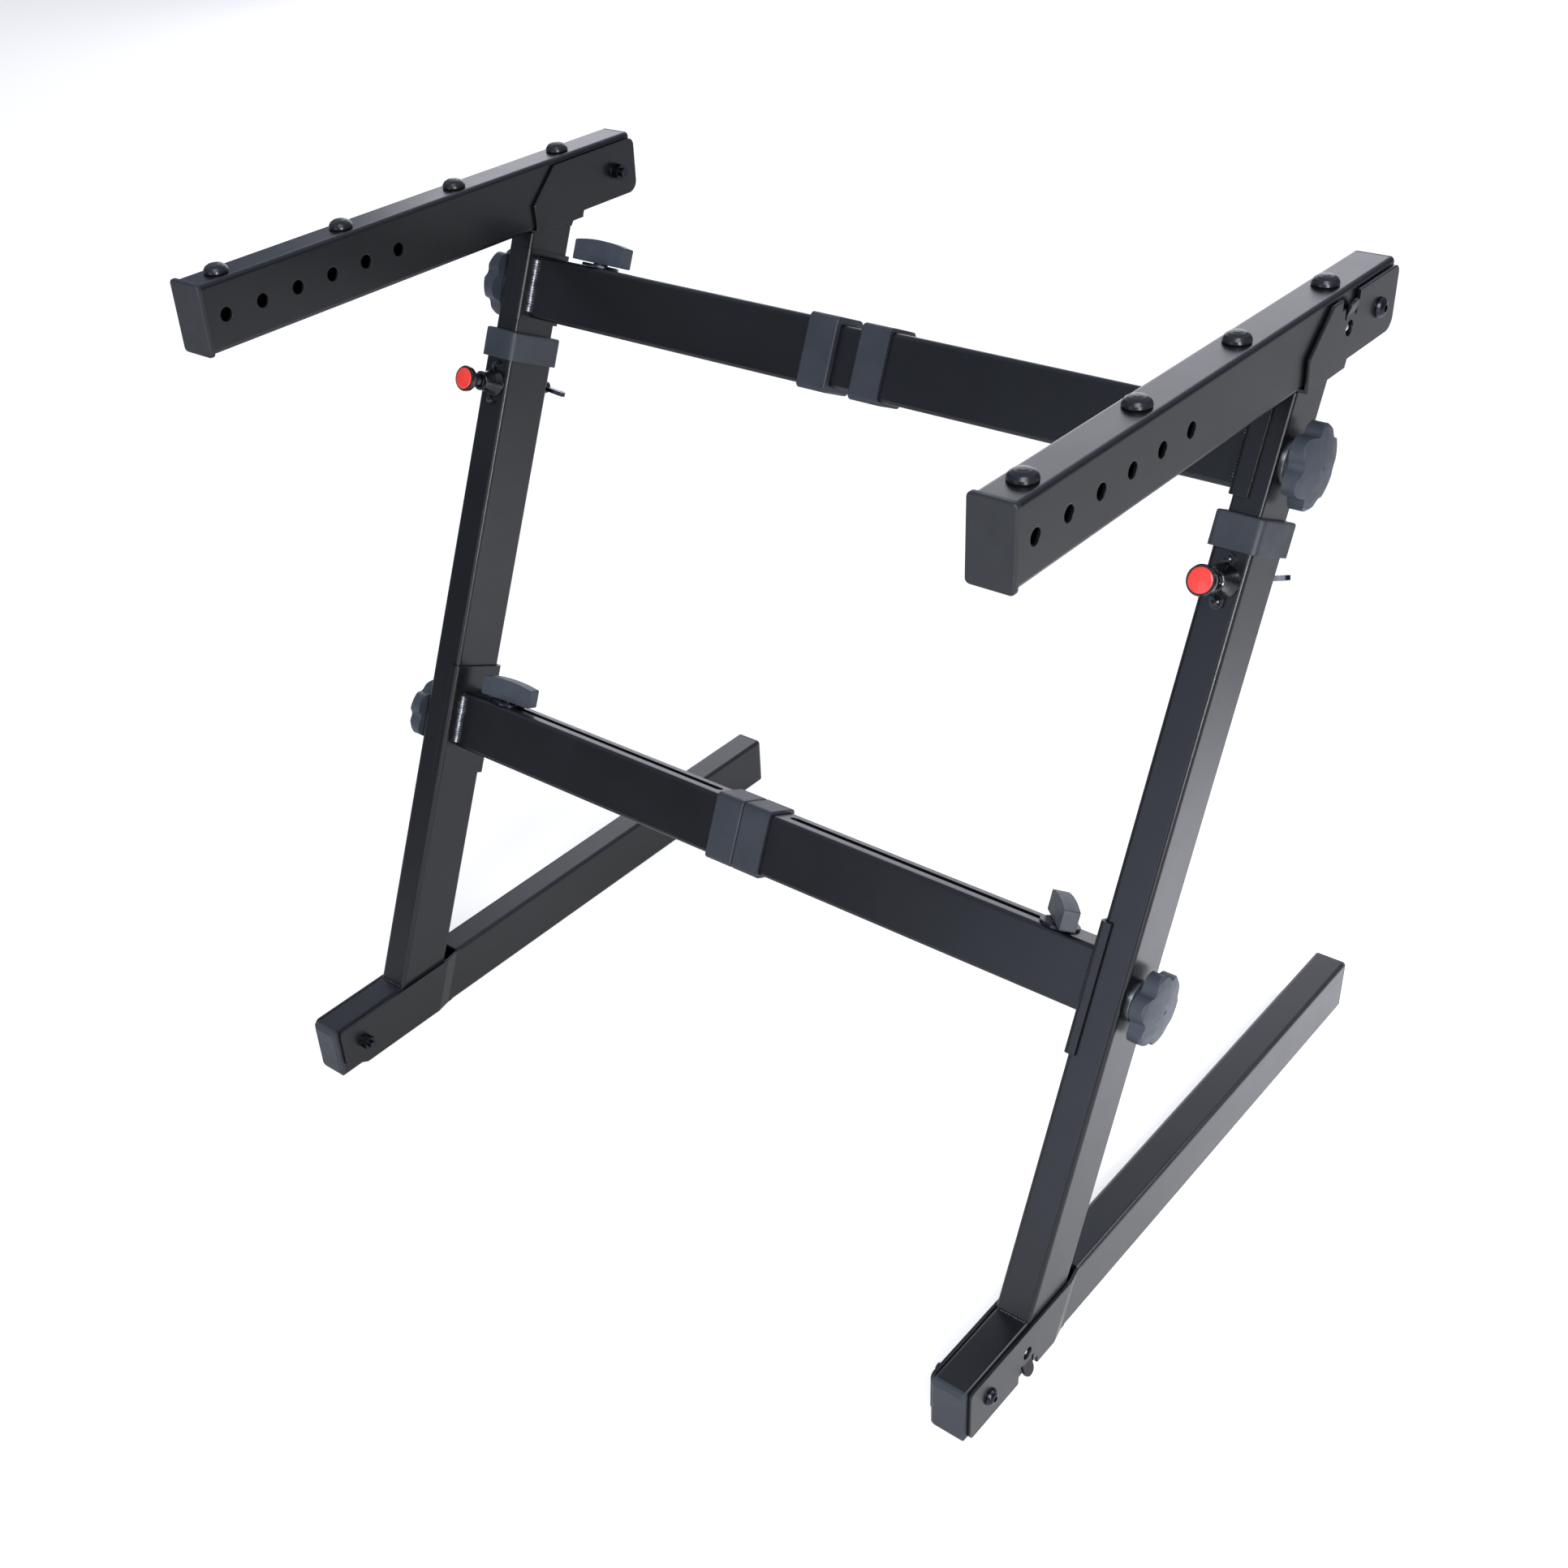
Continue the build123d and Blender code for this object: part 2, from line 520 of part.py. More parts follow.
# Leg: tube with its side walls carried forward as two fork plates
def fork_plate(s):
    """One fork plate, s = 1 outer and -1 inner, in the side frame."""
    a, b = FORK_IN, FORK_OUT
    c, d = TUBE_W / 2 - WALL, TUBE_W / 2
    low, high = FORK_LIFT, TUBE_H - FORK_LIFT
    front = BLOCK_FRONT + FORK_BACK
    start = lean_y(0, -TUBE_H / 2) + FORK_LIFT
    end = start + JOGGLE
    line = [(a, front - TUBE_H), (b, front - TUBE_H), (b, start), (d, end), (d, end + 4), (c, end + 4), (c, end),
            (a, start)]
    plate = slanted_prism(line, low, high)
    far = front - 2 * TUBE_H
    trim = [(far, high + 5), (far, low - 5)]
    if s > 0:
        trim += [(front, low - 5), (front, high + 5)]
    else:
        back, rise = FORK_CUT
        trim += [(front + back, low - 5), (front + back, low), (front, rise), (front, high + 5)]
    plate -= plate_yz(trim, a - 5, b + 5)
    corners = plate.edges().filter_by(Axis.X).group_by(Axis.Y)[0].sort_by(Axis.Z)
    plate = fillet(corners[:2] if s > 0 else corners[-1:], 4.0)
    if s > 0:
        y, z = LEG_PIN
        plate -= latch_cuts(a, b, y, z, 9.0, -1)
        plate -= block(a - 2, b + 2, y - 9.8, y + 13.0, low - 5, z - 14.0)
        plate += tongue_piece(a, y, z - 8.8, 11.2, -1)
    plate -= cyl_x(BOLT_R + EPS, a - 2, b + 2, *LEG_PIVOT)
    if s < 0:
        plate = mirror(plate, about=Plane.YZ)
    return plate


def make_leg_tube():
    tube = rounded_tube(TUBE_W, TUBE_H, WALL, TUBE_R, LEG_REAR - CAP_T)
    tube = Pos(0, 0, TUBE_H / 2) * Rot(-90, 0, 0) * tube
    end = lean_y(0, -TUBE_H / 2) + FORK_LIFT + JOGGLE
    low, high, far = -TUBE_H, 2 * TUBE_H, -3 * TUBE_H
    tube -= plate_yz([(far, low), (end + lean_y(low, 0), low), (end + lean_y(high, 0), high), (far, high)],
                     -TUBE_W, TUBE_W)
    return one(side(tube + fork_plate(1) + fork_plate(-1)))


def make_leg_cap():
    return one(side(Pos(0, LEG_REAR - CAP_T, TUBE_H / 2) * Rot(90, 0, 0) * cap_body(0.0, CAP_T)))


def lobed_outline(turn):
    """Outline of the knob head: wide round lobes joined by tangent hollows, one lobe at the angle turn."""
    half = math.pi / KNOB_LOBES
    lobe_at = KNOB_R - LOBE_R
    reach = LOBE_R + HOLLOW_R
    hollow_at = lobe_at * math.cos(half) + math.sqrt(reach ** 2 - (lobe_at * math.sin(half)) ** 2)
    share = LOBE_R / reach
    edges = []
    for i in range(KNOB_LOBES):
        a = math.radians(turn) + 2 * half * i
        lobe, after = polar(lobe_at, a), polar(lobe_at, a + 2 * half)
        hollows = [polar(hollow_at, a - half), polar(hollow_at, a + half)]
        start, end = [lobe + (h - lobe) * share for h in hollows]
        there = after + (hollows[1] - after) * share
        edges.append(ThreePointArc(start, polar(KNOB_R, a), end))
        edges.append(ThreePointArc(end, polar(hollow_at - HOLLOW_R, a + half), there))
    return make_face(edges)


def knob_envelope():
    """Round body with a bevelled rim and a domed face that the lobed head is cut to."""
    rim = KNOB_R + 0.5
    flat = rim - KNOB_BEVEL
    edge = KNOB_HEAD - KNOB_DOME
    sphere = (flat ** 2 + KNOB_DOME ** 2) / (2 * KNOB_DOME)
    middle = KNOB_HEAD - sphere + math.sqrt(sphere ** 2 - flat ** 2 / 4)
    straight = Polyline((0, 0, KNOB_HEAD), (0, 0, 0), (rim, 0, 0), (rim, 0, edge - KNOB_BEVEL), (flat, 0, edge))
    dome = ThreePointArc((flat, 0, edge), (flat / 2, 0, middle), (0, 0, KNOB_HEAD))
    return revolve(make_face(straight + dome), Axis.Z, 360)


# Star knob: six lobes, bare domed face and a round hub behind, on a steel stud with a washer
def make_star_knob(base, turn):
    head = extrude(lobed_outline(turn), KNOB_HEAD) & knob_envelope()
    hub = cyl_z(HUB_R, 0, HUB_H) + cyl_z(NECK_R, HUB_H - 1, HUB_H + NECK_H + 1)
    body = hub + Pos(0, 0, HUB_H + NECK_H) * head
    body -= cyl_z(KNOB_BOLT_R, -1, KNOB_HEAD - 2)
    return Pos(base, 0, 0) * Rot(0, 90, 0) * body


def make_star_stud(face, base, end):
    stud = cyl_x(KNOB_BOLT_R - 0.01, end, base + KNOB_HEAD - 3, 0, 0)
    washer = cyl_x(WASHER_R, face + EPS, base - EPS, 0, 0) - cyl_x(KNOB_BOLT_R + 0.1, face - 1, base + 1, 0, 0)
    return stud, washer


# Crossbar half: outer tube welded to the channel that wraps the upright
def make_crossbar(half_w, half_h, sleeve, flange_edge, mid, inner_end, slot, knob_t):
    """Right-hand half in the stand's own lean, x measured from the middle of the stand."""
    post_x = SPAN / 2
    web_in = post_x - half_w - SLEEVE_GAP
    web_out = web_in - SLEEVE_T
    tube = Rot(0, 90, 0) * rounded_tube(TUBE_H, TUBE_W, WALL, TUBE_R, web_out - inner_end)
    tube = Pos(inner_end, 0, mid) * tube
    cut = extrude(SlotOverall(slot[1] - slot[0], SLOT_W), 3 * WALL)
    tube -= Pos((slot[0] + slot[1]) / 2, 0, mid + TUBE_H / 2 - 2 * WALL) * cut
    depth = half_h + SLEEVE_GAP + SLEEVE_T
    channel = block(web_out, post_x + flange_edge, -depth, depth, sleeve[0], sleeve[1])
    channel = fillet(channel.edges().filter_by(Axis.Z).sort_by(Axis.X)[:2], SLEEVE_R)
    channel -= block(web_in, post_x + TUBE_W, -depth + SLEEVE_T, depth - SLEEVE_T, sleeve[0] - 1, sleeve[1] + 1)
    channel -= cyl_x(KNOB_BOLT_R + PIN_GAP, web_out - 1, web_in + 1, 0, knob_t)
    nut = Pos(web_out - 6.5, 0, knob_t) * Rot(0, 90, 0) * extrude(RegularPolygon(6.5, 6, major_radius=False), 6.6)
    nut -= cyl_x(KNOB_BOLT_R + EPS, web_out - 8, web_out + 1, 0, knob_t)
    return one(tilt_mid(tube + channel + nut))


def make_bar_collar(start, mid):
    """Moulded ring on the facing end of a crossbar tube, right-hand half."""
    ring = extrude(RectangleRounded(TUBE_H + 2 * BAR_COLLAR_T, TUBE_W + 2 * BAR_COLLAR_T, COLLAR_R), BAR_COLLAR_LENGTH)
    ring = fillet(ring.edges().group_by(Axis.Z)[0], 1.4)
    seat = extrude(RectangleRounded(TUBE_H + 2 * EPS, TUBE_W + 2 * EPS, TUBE_R), BAR_COLLAR_LENGTH)
    mouth = extrude(RectangleRounded(IN_H + 2 * MOUTH_GAP, IN_W + 2 * MOUTH_GAP, IN_R), BAR_COLLAR_LENGTH)
    ring -= Pos(0, 0, BAR_COLLAR_LIP) * seat + Pos(0, 0, -1) * mouth
    return one(tilt_mid(Pos(start, 0, mid) * Rot(0, 90, 0) * ring))


def make_inner_bar(stud_x, mid):
    half = stud_x + INNER_PAST_STUD
    tube = Pos(-half, 0, mid) * Rot(0, 90, 0) * rounded_tube(IN_H, IN_W, WALL, IN_R, 2 * half)
    nut = extrude(RegularPolygon(5.0, 6, major_radius=False), 5.2)
    for s in (1, -1):
        tube += Pos(s * stud_x, 0, mid + IN_H / 2 - WALL - 5.0) * nut
        tube -= cyl_z(STUD_R + EPS, mid, mid + TUBE_H, s * stud_x)
    return one(tilt_mid(tube))


# Thumbscrew: arched bar handle on a steel boss, washer and stud
def make_thumb_bar(x, mid, turn):
    half = BAR_LENGTH / 2
    arc = ThreePointArc((-half, BAR_END_H), (0, BAR_MID_H), (half, BAR_END_H))
    outline = make_face(Polyline((half, BAR_END_H), (half, 0), (-half, 0), (-half, BAR_END_H)) + arc)
    bar = Rot(90, 0, 0) * extrude(outline, BAR_THICK / 2, both=True)
    bar = fillet(bar.edges().filter_by(Axis.Y), 1.0)
    bar -= cyl_z(STUD_R, -1, BAR_END_H - 4)
    return one(tilt_mid(Pos(x, 0, mid + TUBE_H / 2 + BAR_RISE) * Rot(0, 0, turn) * bar))


def make_thumb_stud(x, mid):
    top = mid + TUBE_H / 2
    r = THUMB_WASHER_R
    stud = cyl_z(STUD_R - 0.01, mid + IN_H / 2 - WALL - 6.5, top + BAR_RISE + BAR_END_H - 5, x)
    boss = Pos(x, 0, top) * revolve_z([(0, 2.2), (THUMB_BOSS_R, 2.2), (THUMB_BOSS_R, BAR_RISE - EPS),
                                       (0, BAR_RISE - EPS)])
    washer = Pos(x, 0, top) * revolve_z([(0, 0.1), (r, 0.1), (r, 1.7), (r - 0.5, 2.15), (0, 2.15)])
    washer -= cyl_z(STUD_R + 0.1, top - 1, top + 3, x)
    return group(tilt_mid(stud + boss), tilt_mid(washer))


def save(name, shape):
    export_step(shape, os.path.join("parts", name + ".step"))
    print(name, len(shape.solids()), round(sum(s.volume for s in shape.solids()) / 1000.0, 2))


def save_pair(name, shape):
    """Write the right-hand piece and its mirror image for the left-hand side."""
    save(name + "_right", shape)
    save(name + "_left", mirror(shape, about=Plane.YZ))


def build_side_parts():
    save_pair("lower_upright", make_lower_upright())
    save_pair("foot_cap", make_foot_cap())
    save_pair("upright_collar", make_upright_collar())
    save_pair("plunger_housing", make_plunger_housing())
    save_pair("plunger_knob", make_plunger_knob())
    save_pair("plunger_cap", make_plunger_cap())
    save("wing_bolt_right", make_wing_bolt(-18, 24, 8.6))
    save("wing_bolt_left", mirror(make_wing_bolt(-8, 24, 9.6), about=Plane.YZ))
    save_pair("upper_upright", make_upper_upright())
    save_pair("arm_tube", make_arm_tube())
    save_pair("arm_caps", make_arm_caps())
    save_pair("arm_bumpers", make_arm_bumpers())
    save_pair("arm_pivot_bolt", make_pivot_bolt(PLATE_OUT, ARM_PIVOT))
    save_pair("arm_lock_button", make_lock_button(PLATE_IN, ARM_PIN))
    save_pair("leg_tube", make_leg_tube())
    save_pair("leg_cap", make_leg_cap())
    save_pair("leg_pivot_bolt", make_pivot_bolt(FORK_OUT, LEG_PIVOT))
    save_pair("leg_lock_button", make_lock_button(FORK_IN, LEG_PIN))


def build_knobs():
    for level, width, t in (("lower", TUBE_W, LOW_KNOB_T), ("upper", IN_W, UP_KNOB_T)):
        face = width / 2
        base = face + WASHER_T + 2 * EPS
        end = -(face + SLEEVE_GAP + SLEEVE_T + 8.5)
        stud, washer = make_star_stud(face, base, end)
        save_pair(level + "_star_stud", group(tilt(Pos(0, 0, t) * stud), tilt(Pos(0, 0, t) * washer)))
        for word in ("right", "left"):
            knob = one(tilt(Pos(0, 0, t) * make_star_knob(base, STAR_TURNS[(level, word)])))
            save(level + "_star_knob_" + word, knob if word == "right" else mirror(knob, about=Plane.YZ))


def build_crossbars():
    rows = [("lower", TUBE_W, TUBE_H, (LOW_BAR_T - LOW_SLEEVE_DOWN, LOW_BAR_T + LOW_SLEEVE_UP), LOW_FLANGE_EDGE,
             LOW_BAR_T, LOW_COLLAR_AT, LOW_STUD_X, LOW_KNOB_T),
            ("upper", IN_W, IN_H, (UP_SLEEVE_LOW, UP_SLEEVE_HIGH), UP_FLANGE_EDGE,
             UP_BAR_T, UP_COLLAR_AT, UP_STUD_X, UP_KNOB_T)]
    for level, w, h, sleeve, edge, mid, collar_at, stud_x, knob_t in rows:
        slot = (collar_at + BAR_COLLAR_LENGTH + SLOT_FROM_COLLAR, stud_x + SLOT_PAST_STUD)
        end = collar_at + BAR_COLLAR_LIP
        save_pair(level + "_crossbar", make_crossbar(w / 2, h / 2, sleeve, edge, mid, end, slot, knob_t))
        save_pair(level + "_bar_collar", make_bar_collar(collar_at, mid))
        save(level + "_inner_bar", make_inner_bar(stud_x, mid))
        for s, word in ((1, "right"), (-1, "left")):
            save("%s_thumb_bar_%s" % (level, word), make_thumb_bar(s * stud_x, mid, THUMB_TURNS[(level, word)]))
            save("%s_thumb_stud_%s" % (level, word), make_thumb_stud(s * stud_x, mid))


build_side_parts()
build_knobs()
build_crossbars()
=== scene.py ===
"""Looks of a z-style keyboard stand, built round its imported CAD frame. Metres, +Z up."""

import logging
import math
from dataclasses import dataclass
from enum import Enum

import bpy
from mathutils import Matrix, Vector


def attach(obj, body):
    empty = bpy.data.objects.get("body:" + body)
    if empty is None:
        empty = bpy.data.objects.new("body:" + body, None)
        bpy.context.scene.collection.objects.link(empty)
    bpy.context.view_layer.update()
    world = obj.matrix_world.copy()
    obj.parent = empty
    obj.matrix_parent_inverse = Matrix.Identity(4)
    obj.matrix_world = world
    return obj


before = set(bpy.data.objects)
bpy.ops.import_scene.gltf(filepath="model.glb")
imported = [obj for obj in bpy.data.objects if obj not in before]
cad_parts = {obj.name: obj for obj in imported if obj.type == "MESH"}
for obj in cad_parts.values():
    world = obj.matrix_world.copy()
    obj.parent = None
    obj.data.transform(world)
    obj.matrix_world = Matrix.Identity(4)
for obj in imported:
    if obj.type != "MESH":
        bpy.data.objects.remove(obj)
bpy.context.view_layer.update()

LOG = logging.getLogger("keyboard_stand")
MM = 0.001
# Nearly all of a noise lies between these two values.
NOISE_LOW, NOISE_HIGH = 0.3, 0.7


class Side(Enum):
    """Which of the two mirrored side frames a piece belongs to."""

    RIGHT = 1
    LEFT = -1

    @property
    def word(self) -> str:
        """The ending that this side gives to names."""
        return self.name.lower()


def linear(hex_colour: str) -> tuple[float, float, float, float]:
    """Turns an sRGB colour into the linear one that shaders want.

    Args:
        hex_colour: the colour as #RRGGBB.

    Returns:
        Linear red, green, blue and an alpha of 1.
    """
    values = [int(hex_colour[i : i + 2], 16) / 255 for i in (1, 3, 5)]
    made = [v / 12.92 if v <= 0.04045 else ((v + 0.055) / 1.055) ** 2.4 for v in values]
    return (made[0], made[1], made[2], 1.0)


def add_node(tree: bpy.types.NodeTree, kind: str, settings: dict | None = None, **links) -> bpy.types.Node:
    """Adds a node, sets what it is told and links what it is given.

    Args:
        tree: the node tree.
        kind: Blender's name of the node type.
        settings: attributes of the node itself.
        **links: a value or an output socket for an input, by its name with _ for a space,
            or by in0, in1 and so on where names repeat.

    Returns:
        The new node.
    """
    node = tree.nodes.new(kind)
    for name, value in (settings or {}).items():
        setattr(node, name, value)
    for name, value in links.items():
        by_place = name[:2] == "in" and name[2:].isdigit()
        target = node.inputs[int(name[2:])] if by_place else node.inputs[name.replace("_", " ")]
        if isinstance(value, bpy.types.NodeSocket):
            tree.links.new(value, target)
        else:
            target.default_value = value
    return node


def calc(
    tree: bpy.types.NodeTree,
    operation: str,
    first: bpy.types.NodeSocket | float,
    second: bpy.types.NodeSocket | float = 0.0,
) -> bpy.types.NodeSocket:
    """Adds one step of arithmetic.

    Args:
        tree: the node tree.
        operation: Blender's name of the step.
        first: its first value.
        second: its second value, where the step has one.

    Returns:
        The result.
    """
    return add_node(tree, "ShaderNodeMath", {"operation": operation}, in0=first, in1=second).outputs[0]


def noise(
    tree: bpy.types.NodeTree, place: bpy.types.NodeSocket, grain_mm: float, detail: float
) -> bpy.types.NodeSocket:
    """Soft random pattern of a real grain size.

    Args:
        tree: the node tree.
        place: Object coordinates in metres.
        grain_mm: distance from one blob to the next in millimetres.
        detail: how many finer layers lie on it.

    Returns:
        The factor output, about 0.5 on average.
    """
    scale = 1 / (grain_mm * MM)
    return add_node(tree, "ShaderNodeTexNoise", Vector=place, Scale=scale, Detail=detail).outputs[0]


def spread(
    tree: bpy.types.NodeTree, value: bpy.types.NodeSocket, low: float, high: float
) -> bpy.types.NodeSocket:
    """Maps a noise factor to a range.

    Args:
        tree: the node tree.
        value: the noise.
        low: result at the noise's low end.
        high: result at its high end.

    Returns:
        The mapped value.
    """
    ends = {"in1": NOISE_LOW, "in2": NOISE_HIGH, "in3": low, "in4": high}
    return add_node(tree, "ShaderNodeMapRange", in0=value, **ends).outputs[0]


@dataclass(frozen=True)
class Finish:
    """What every finish has: a colour, a second tint, a gloss range and a grain.

    Roughness runs between two values in patches, the colour between two tints in patches,
    and the bump is a grain of a real size. Lengths that end in _mm are real millimetres.
    """

    name: str
    colour: str
    tint: str
    rough: tuple[float, float]
    grain_mm: float
    relief_mm: float
    patch_mm: float = 40.0
    metallic: float = 0.0
    coat: float = 0.0
    coat_rough: float = 0.1
    edge_mm: float = 0.0
    ior: float | None = 1.5
    specular: float = 0.5
    grain_detail: float = 2.0
    patch_detail: float = 3.0
    gloss_patch_share: float = 0.37
    edge_samples: int = 6

    def build(self) -> bpy.types.Material:
        """Makes the material.

        Returns:
            A Principled material whose patterns follow Object coordinates.
        """
        material = bpy.data.materials.new(self.name)
        material.use_nodes = True
        tree = material.node_tree
        tree.nodes.clear()
        place = add_node(tree, "ShaderNodeTexCoord").outputs["Object"]
        patches = noise(tree, place, self.patch_mm, self.patch_detail)
        tint = add_node(
            tree,
            "ShaderNodeMix",
            {"data_type": "RGBA"},
            in0=spread(tree, patches, 0.0, 1.0),
            in6=linear(self.colour),
            in7=linear(self.tint),
        )
        gloss = noise(tree, place, self.patch_mm * self.gloss_patch_share, self.patch_detail)
        grain = noise(tree, place, self.grain_mm, self.grain_detail)
        bump = add_node(tree, "ShaderNodeBump", Height=grain, Distance=self.relief_mm * MM, Strength=1.0)
        if self.edge_mm:
            edge = add_node(tree, "ShaderNodeBevel", {"samples": self.edge_samples}, Radius=self.edge_mm * MM)
            tree.links.new(edge.outputs["Normal"], bump.inputs["Normal"])
        shader = add_node(
            tree,
            "ShaderNodeBsdfPrincipled",
            Base_Color=tint.outputs[2],
            Roughness=spread(tree, gloss, *self.rough),
            Normal=bump.outputs["Normal"],
            Metallic=self.metallic,
            Coat_Weight=self.coat,
            Coat_Roughness=self.coat_rough,
            Specular_IOR_Level=self.specular,
        )
        if self.ior is not None:
            shader.inputs["IOR"].default_value = self.ior
        add_node(tree, "ShaderNodeOutputMaterial", Surface=shader.outputs["BSDF"])
        return material


# Polyester powder baked on steel: satin black, with the faint orange peel of a sprayed and
# melted coat. Faces turned to the light get a soft grey sheen, and edges get a bright line.
POWDER_COAT = Finish(
    "powder_coated_steel", "#0B0C0E", "#111215", (0.28, 0.31), 1.5, 0.012, patch_mm=60.0, edge_mm=0.7
)
# Polypropylene moulded in a spark-eroded tool: dark grey, dull, with a fine even grain.
MOULDED_PLASTIC = Finish(
    "moulded_polypropylene", "#2E3137", "#363A41", (0.46, 0.56), 0.55, 0.02, patch_mm=25.0, edge_mm=0.4
)
# The arms' end caps: the same plastic, close to black.
DARK_PLASTIC = Finish(
    "moulded_dark_polypropylene", "#1D1F23", "#23262A", (0.46, 0.56), 0.55, 0.02, patch_mm=25.0, edge_mm=0.4
)
# Nylon of the knobs: the same tool grain, a little lighter and silkier where hands rub it.
KNOB_NYLON = Finish(
    "moulded_nylon", "#363B43", "#3F454E", (0.42, 0.54), 0.5, 0.016, patch_mm=14.0, edge_mm=0.4
)
# Die-cast housing under gloss black lacquer: tight highlights on round shapes.
GLOSS_LACQUER = Finish(
    "gloss_black_lacquer", "#08080A", "#0C0C0F", (0.16, 0.26), 2.4, 0.01, patch_mm=12.0, coat=0.3
)
# Red acetal disc with the even gloss of a polished mould.
RED_ACETAL = Finish(
    "moulded_red_acetal", "#F23B33", "#F8463C", (0.26, 0.34), 0.8, 0.004, patch_mm=6.0, coat=0.3
)
# Black oxide on hex-head steel: oily dark metal with pale rubbed edges.
BLACK_OXIDE = Finish(
    "black_oxide_steel", "#313338", "#404248", (0.2, 0.32), 0.7, 0.006, patch_mm=5.0,
    metallic=1.0, ior=None, edge_mm=0.3
)
# Bright zinc on turned steel, slightly milky in patches.
ZINC_PLATE = Finish(
    "bright_zinc_plate", "#E4E6E8", "#D2D5D9", (0.3, 0.44), 0.6, 0.004, patch_mm=4.0, metallic=1.0, ior=None
)
# Moulded rubber: smooth and black, with a soft highlight on each dome.
RUBBER = Finish("moulded_rubber", "#0F1012", "#15161A", (0.26, 0.36), 0.9, 0.012, patch_mm=7.0)
# Arc-weld bead, coated black like the tubes round it: its rippled bright metal with greyer patches is a
# painted glint.
WELD_PAINTED_GLINT = Finish(
    "weld_bead_painted_glint", "#D2D4D8", "#85888E", (0.2, 0.4), 0.7, 0.12, patch_mm=3.0, metallic=1.0, ior=None
)
# Weld bead under the same powder coat as the tubes around it.
COATED_WELD = Finish("powder_coated_weld", "#141518", "#1B1C20", (0.28, 0.38), 1.2, 0.03, patch_mm=20.0)


class Paints:
    """Makes each finish once and hands out its material."""

    def __init__(self) -> None:
        """Starts with no material made."""
        self.made: dict[str, bpy.types.Material] = {}

    def get(self, finish: Finish) -> bpy.types.Material:
        """Gives the material of a finish, made at its first use.

        Args:
            finish: the finish.

        Returns:
            Its material.
        """
        if finish.name not in self.made:
            self.made[finish.name] = finish.build()
        return self.made[finish.name]

    def dress(self, node: str, finish: Finish) -> None:
        """Gives a CAD node its finish.

        Args:
            node: name of the CAD node.
            finish: the finish.
        """
        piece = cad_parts[node]
        piece.data.materials.clear()
        piece.data.materials.append(self.get(finish))
        LOG.info("%s: %s", node, finish.name)


@dataclass(frozen=True)
class Lean:
    """The leaning frame of the uprights, in millimetres as the CAD source has it."""

    tilt_deg: float = 24.0
    foot_y: float = -189.3
    post_x: float = 295.0

    def point(self, x: float, n: float, t: float) -> Vector:
        """Turns a place in the leaning frame into metres in the row frame.

        Args:
            x: millimetres from the middle of the stand.
            n: millimetres in front of the upright's centre plane.
            t: millimetres along the upright from the floor.

        Returns:
            The place in metres.
        """
        a = math.radians(self.tilt_deg)
        y = self.foot_y + t * math.sin(a) - n * math.cos(a)
        z = t * math.cos(a) + n * math.sin(a)
        return Vector((x, y, z)) * MM


LEAN = Lean()


def group_input(tree: bpy.types.NodeTree, name: str, kind: str, value: object = None) -> None:
    """Adds a named input to a Geometry Nodes tree.

    Args:
        tree: the tree.
        name: the input's name.
        kind: Blender's name of the socket type.
        value: its default.
    """
    socket = tree.interface.new_socket(name=name, in_out="INPUT", socket_type=kind)
    if value is not None:
        socket.default_value = value


